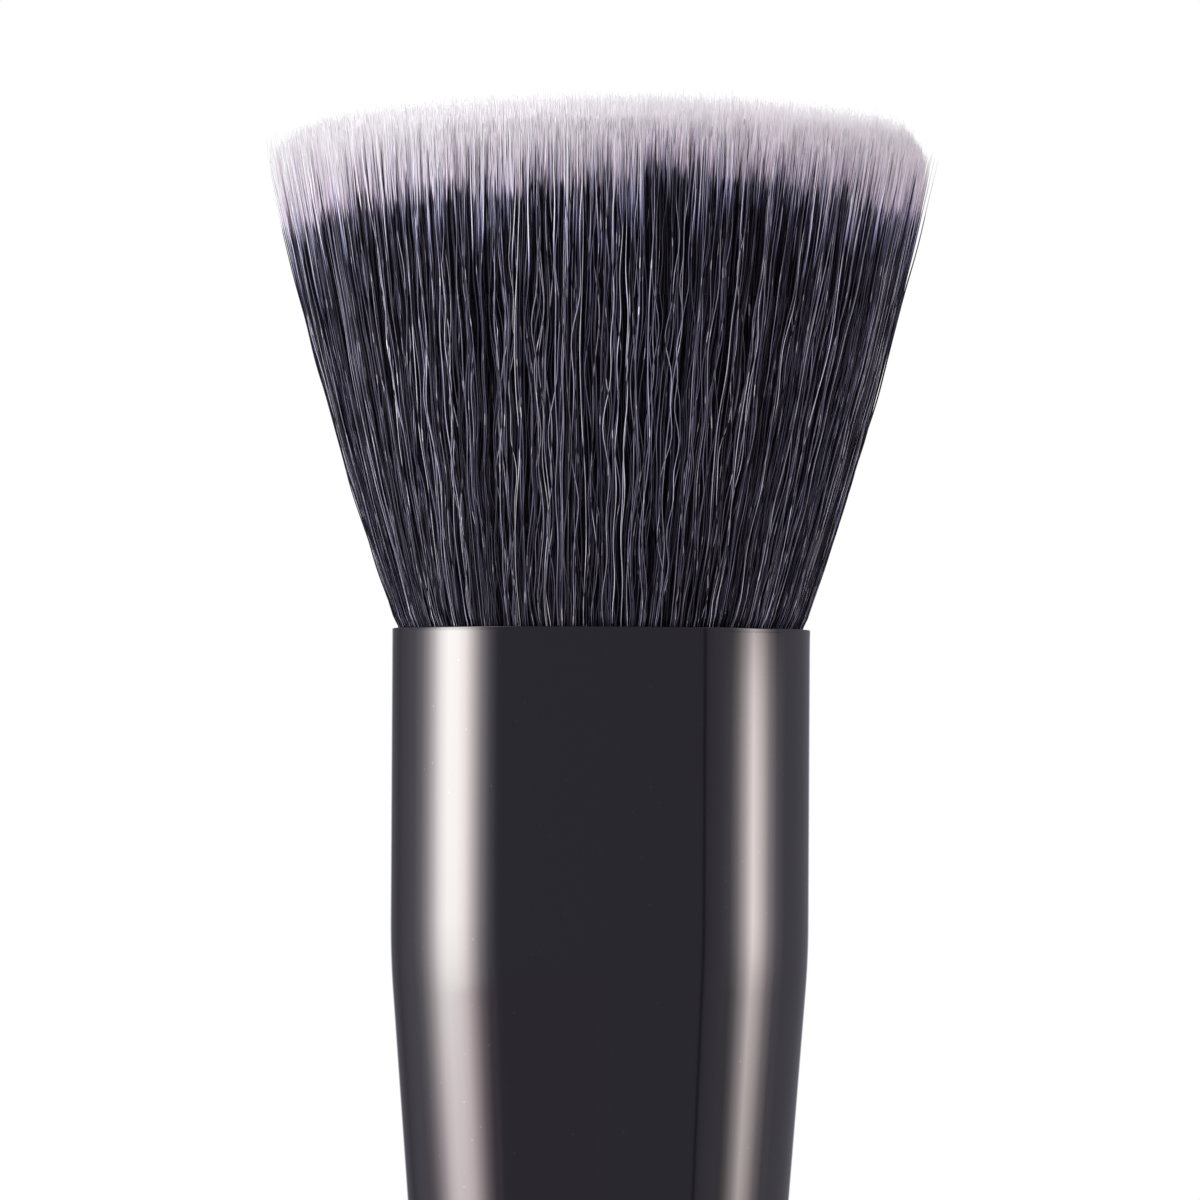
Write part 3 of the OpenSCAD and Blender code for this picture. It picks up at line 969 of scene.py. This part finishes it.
# Brightness that the glossy pieces see round the object, by angle from the camera's side. Left
# is negative. The soft boxes are the bright stretches and the flags the dark ones. This table and
# the next were adjusted until the ferrule's highlights agreed with the reference.
tentStops = (
    (-180, (0.8, 0.8, 0.84)), (-172, (0.7, 0.7, 0.76)), (-166, (0.16, 0.15, 0.18)),
    (-147, (0.14, 0.13, 0.16)), (-134, (0.29, 0.27, 0.34)), (-124, (0.48, 0.44, 0.53)),
    (-116.5, (0.94, 0.89, 0.98)), (-110.5, (2.0, 1.86, 1.92)), (-104.5, (4.1, 3.8, 3.8)),
    (-98.5, (7.2, 6.9, 6.7)), (-92.5, (9.0, 8.8, 8.4)), (-85.5, (8.9, 8.7, 8.3)),
    (-80, (7.8, 7.3, 7.0)), (-74.5, (4.6, 4.2, 4.1)), (-69, (1.8, 1.65, 1.7)),
    (-63.5, (0.62, 0.58, 0.67)), (-58.5, (0.24, 0.225, 0.285)),
    (-55, (0.22, 0.21, 0.27)), (57.9, (0.22, 0.205, 0.265)), (58.5, (0.08, 0.08, 0.1)),
    (59.7, (0.08, 0.08, 0.1)), (60.3, (0.24, 0.225, 0.29)), (70, (0.34, 0.31, 0.39)),
    (76, (0.5, 0.46, 0.53)), (81, (1.25, 1.15, 1.2)), (87, (3.5, 3.15, 3.1)),
    (93, (6.9, 6.15, 6.0)), (99.5, (4.6, 4.05, 3.95)), (106.5, (1.75, 1.56, 1.6)),
    (114, (0.62, 0.58, 0.67)), (123, (0.33, 0.31, 0.38)),
    (133, (0.27, 0.26, 0.31)), (146, (0.22, 0.21, 0.25)), (166, (0.2, 0.19, 0.23)),
    (172, (0.7, 0.7, 0.76)), (180, (0.8, 0.8, 0.84)),
)
# Share of brightness left in the left and the right soft box at each angle above the level line
boxFalloff = (
    (-86, 0.18, 0.18), (-20, 0.3, 0.3), (-9.5, 0.55, 0.51), (-9.02, 0.586, 0.545), (-8.8, 0.6, 0.559),
    (-8.51, 0.618, 0.576), (-8.23, 0.63, 0.59), (-7.94, 0.642, 0.61), (-7.66, 0.685, 0.64),
    (-7.37, 0.73, 0.681), (-6.43, 0.78, 0.738), (-5.44, 0.818, 0.788), (-3.6, 0.88, 0.93),
    (-0.9, 0.937, 1.02), (-0.62, 0.99, 1.026), (-0.2, 0.99, 1.01), (0.22, 0.983, 1.004),
    (0.63, 1.003, 1.014), (0.78, 1.006, 0.974), (0.93, 1.018, 0.956), (1.0, 1.03, 0.85),
    (1.07, 1.036, 0.66), (1.13, 1.05, 0.3), (4, 0.8, 0.6), (16, 0.55, 0.4), (40, 0.3, 0.25),
    (60, 0.2, 0.2), (61, 0.03, 0.03), (88, 0.0, 0.0),
)


def emissionMaterial(name):
    mat = bpy.data.materials.new(name)
    mat.use_nodes = True
    nodes = mat.node_tree.nodes
    nodes.clear()
    out = nodes.new("ShaderNodeOutputMaterial")
    shader = nodes.new("ShaderNodeEmission")
    mat.node_tree.links.new(shader.outputs[0], out.inputs["Surface"])
    return mat, nodes, mat.node_tree.links, shader


def makeWorld():
    world = bpy.data.worlds.new("studio")
    scene.world = world
    world.use_nodes = True
    nodes, links = world.node_tree.nodes, world.node_tree.links
    nodes.clear()
    out = nodes.new("ShaderNodeOutputWorld")
    seen = nodes.new("ShaderNodeBackground")
    seen.inputs["Color"].default_value = (1, 1, 1, 1)
    light = nodes.new("ShaderNodeBackground")
    light.inputs["Color"].default_value = (*studio["ambient"], 1)
    path = nodes.new("ShaderNodeLightPath")
    pick = mathNode(nodes, links, "MAXIMUM", path.outputs["Is Camera Ray"],
                    path.outputs["Is Glossy Ray"])
    pick = mathNode(nodes, links, "MAXIMUM", pick, path.outputs["Is Transmission Ray"])
    mix = nodes.new("ShaderNodeMixShader")
    links.new(pick, mix.inputs[0])
    links.new(light.outputs[0], mix.inputs[1])
    links.new(seen.outputs[0], mix.inputs[2])
    links.new(mix.outputs[0], out.inputs["Surface"])


def makeFloor():
    mesh = bpy.data.meshes.new("floor")
    sides = studio["floorSides"]
    edge = [(studio["floorRadius"] * math.cos(2 * math.pi * k / sides),
             studio["floorRadius"] * math.sin(2 * math.pi * k / sides), 0) for k in range(sides)]
    mesh.from_pydata(edge, [], [tuple(range(sides))])
    mat, nodes, links, shader = newMaterial("paleFloor")
    shader.inputs["Base Color"].default_value = (*studio["floorColour"], 1)
    shader.inputs["Roughness"].default_value = 0.75
    shader.inputs["Specular IOR Level"].default_value = 0.2
    length = nodes.new("ShaderNodeVectorMath")
    length.operation = "LENGTH"
    links.new(nodes.new("ShaderNodeTexCoord").outputs["Object"], length.inputs[0])
    fade = mapRange(nodes, links, length.outputs["Value"], studio["floorFadeFrom"],
                    studio["floorRadius"] * 0.96, 1.0, 0.0, smooth=True)
    links.new(fade, shader.inputs["Alpha"])
    mesh.materials.append(mat)
    floor = bpy.data.objects.new("floor", mesh)
    scene.collection.objects.link(floor)
    floor.location.z = cadBounds[0].z - 0.02 * mm
    floor.visible_glossy = False


def makeTent():
    radius = studio["tentRadius"]
    turns = np.arange(-180, 180.1, 0.5)
    stopAngles = [angle for angle, colour in tentStops]
    stopColours = np.array([colour for angle, colour in tentStops])
    colours = np.stack([np.interp(turns, stopAngles, stopColours[:, k]) for k in range(3)], 1)
    boxShare = np.clip((colours[:, 0] - 0.3) / 0.3, 0, 1)
    verts, faces, tints = [], [], []
    for turn, colour, share in zip(np.radians(turns), colours, boxShare):
        for rise, leftShare, rightShare in boxFalloff:
            height = studio["tentEye"] + radius * math.tan(math.radians(rise))
            verts.append((math.sin(turn) * radius, -math.cos(turn) * radius, height))
            stays = leftShare if turn < 0 else rightShare
            warm = np.interp(rise, studio["tintAngles"], (1, 0)) * (turn < 0)
            tint = 1 + (np.array(studio["lowTint"]) - 1) * warm
            tints.append((*(colour * tint * (1 - share + share * stays)), 1))
    rows = len(boxFalloff)
    for k in range(len(turns) - 1):
        for i in range(rows - 1):
            low = k * rows + i
            faces.append((low, low + 1, low + rows + 1, low + rows))
    mesh = bpy.data.meshes.new("reflectionTent")
    mesh.from_pydata(verts, [], faces)
    layer = mesh.color_attributes.new("glow", "FLOAT_COLOR", "POINT")
    layer.data.foreach_set("color", np.array(tints, np.float32).ravel())
    mat, nodes, links, shader = emissionMaterial("reflectionTent")
    glow = nodes.new("ShaderNodeAttribute")
    glow.attribute_name = "glow"
    links.new(glow.outputs["Color"], shader.inputs["Color"])
    mesh.materials.append(mat)
    tent = bpy.data.objects.new("reflectionTent", mesh)
    scene.collection.objects.link(tent)
    tent.visible_camera = False
    tent.visible_diffuse = False
    tent.visible_transmission = False
    tent.visible_volume_scatter = False
    tent.visible_shadow = False


def addLamp(name, azimuth, elevation, width, height, power, colour):
    data = bpy.data.lights.new(name, "AREA")
    data.shape = "RECTANGLE"
    data.size, data.size_y = width, height
    data.energy = power
    data.color = colour
    lamp = bpy.data.objects.new(name, data)
    scene.collection.objects.link(lamp)
    a, e = math.radians(azimuth), math.radians(elevation)
    target = Vector((0, 0, rimZ))
    back = Vector((math.sin(a) * math.cos(e), -math.cos(a) * math.cos(e), math.sin(e)))
    lamp.location = target + back * studio["lampDistance"]
    lamp.rotation_euler = (-back).to_track_quat("-Z", "Y").to_euler()
    lamp.visible_glossy = False


makeWorld()
makeFloor()
makeTent()
for lampName, lampSettings in lamps.items():
    addLamp(lampName, **lampSettings)
print("studio lit")

# The camera looks slightly up at the head, with the brush leaning a little to the right

cameraView = {
    "distance": 0.6,
    "elevation": -1.0,
    "lean": 0.3,
    "frameWidth": 63.16 * mm,
    "aimAboveRim": 1.54 * mm,
    "aimLeft": 0.07 * mm,
    "sensor": 36.0,
}


def makeCamera():
    data = bpy.data.cameras.new("camera")
    data.sensor_width = cameraView["sensor"]
    data.lens = cameraView["sensor"] * cameraView["distance"] / cameraView["frameWidth"]
    data.clip_start, data.clip_end = 0.01, 20
    camera = bpy.data.objects.new("camera", data)
    scene.collection.objects.link(camera)
    e = math.radians(cameraView["elevation"])
    back = Vector((0, -math.cos(e), math.sin(e)))
    aim = Vector((-cameraView["aimLeft"], 0, rimZ + cameraView["aimAboveRim"]))
    camera.location = aim + back * cameraView["distance"]
    turn = (-back).to_track_quat("-Z", "Y").to_matrix().to_4x4()
    camera.rotation_euler = (turn @ Matrix.Rotation(math.radians(cameraView["lean"]), 4, "Z")).to_euler()
    scene.camera = camera


makeCamera()
scene.view_settings.view_transform = "Standard"
